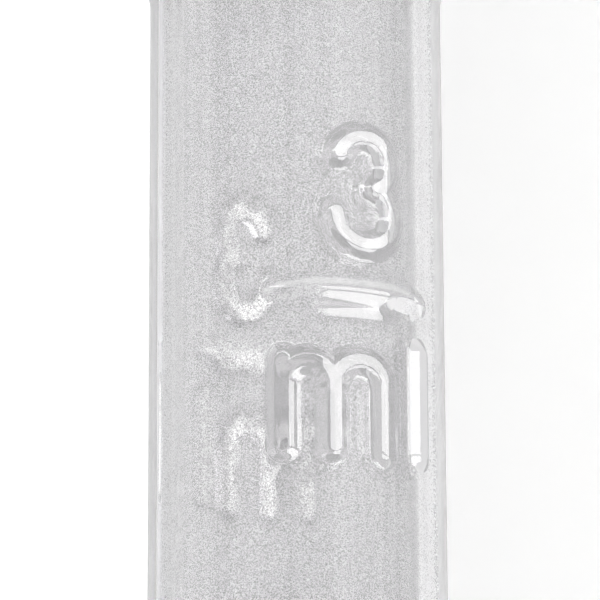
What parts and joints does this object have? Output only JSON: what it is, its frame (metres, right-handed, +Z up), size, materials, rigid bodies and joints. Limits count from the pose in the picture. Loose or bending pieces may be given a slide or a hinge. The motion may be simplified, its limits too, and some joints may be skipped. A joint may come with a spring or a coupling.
{
  "type": "transfer pipette",
  "caption": "One-piece plastic dropper pipette: a squeeze bulb on a graduated barrel that narrows to an open tip, lying on its side.",
  "frame": {"origin": "on the table, below the middle of the length and width of the pipette as it lies", "axes": "+Z is up off the table, +Y is towards the bulb and the tip points along -Y; the front scale faces up and to the +X side, 45 degrees from straight up, because the pipette has rolled off its raised graduations. The axis of the barrel leans 1.43 degrees from Y, because the pipette rests on its bulb and on the foot of its barrel, with the tip clear of the table."},
  "size_m": [0.013, 0.1578, 0.0137],
  "materials": {
    "polyethylene": "as blow-moulded, translucent"
  },
  "bodies": {
    "root": {"pipette": "polyethylene"}
  },
  "joints": []
}
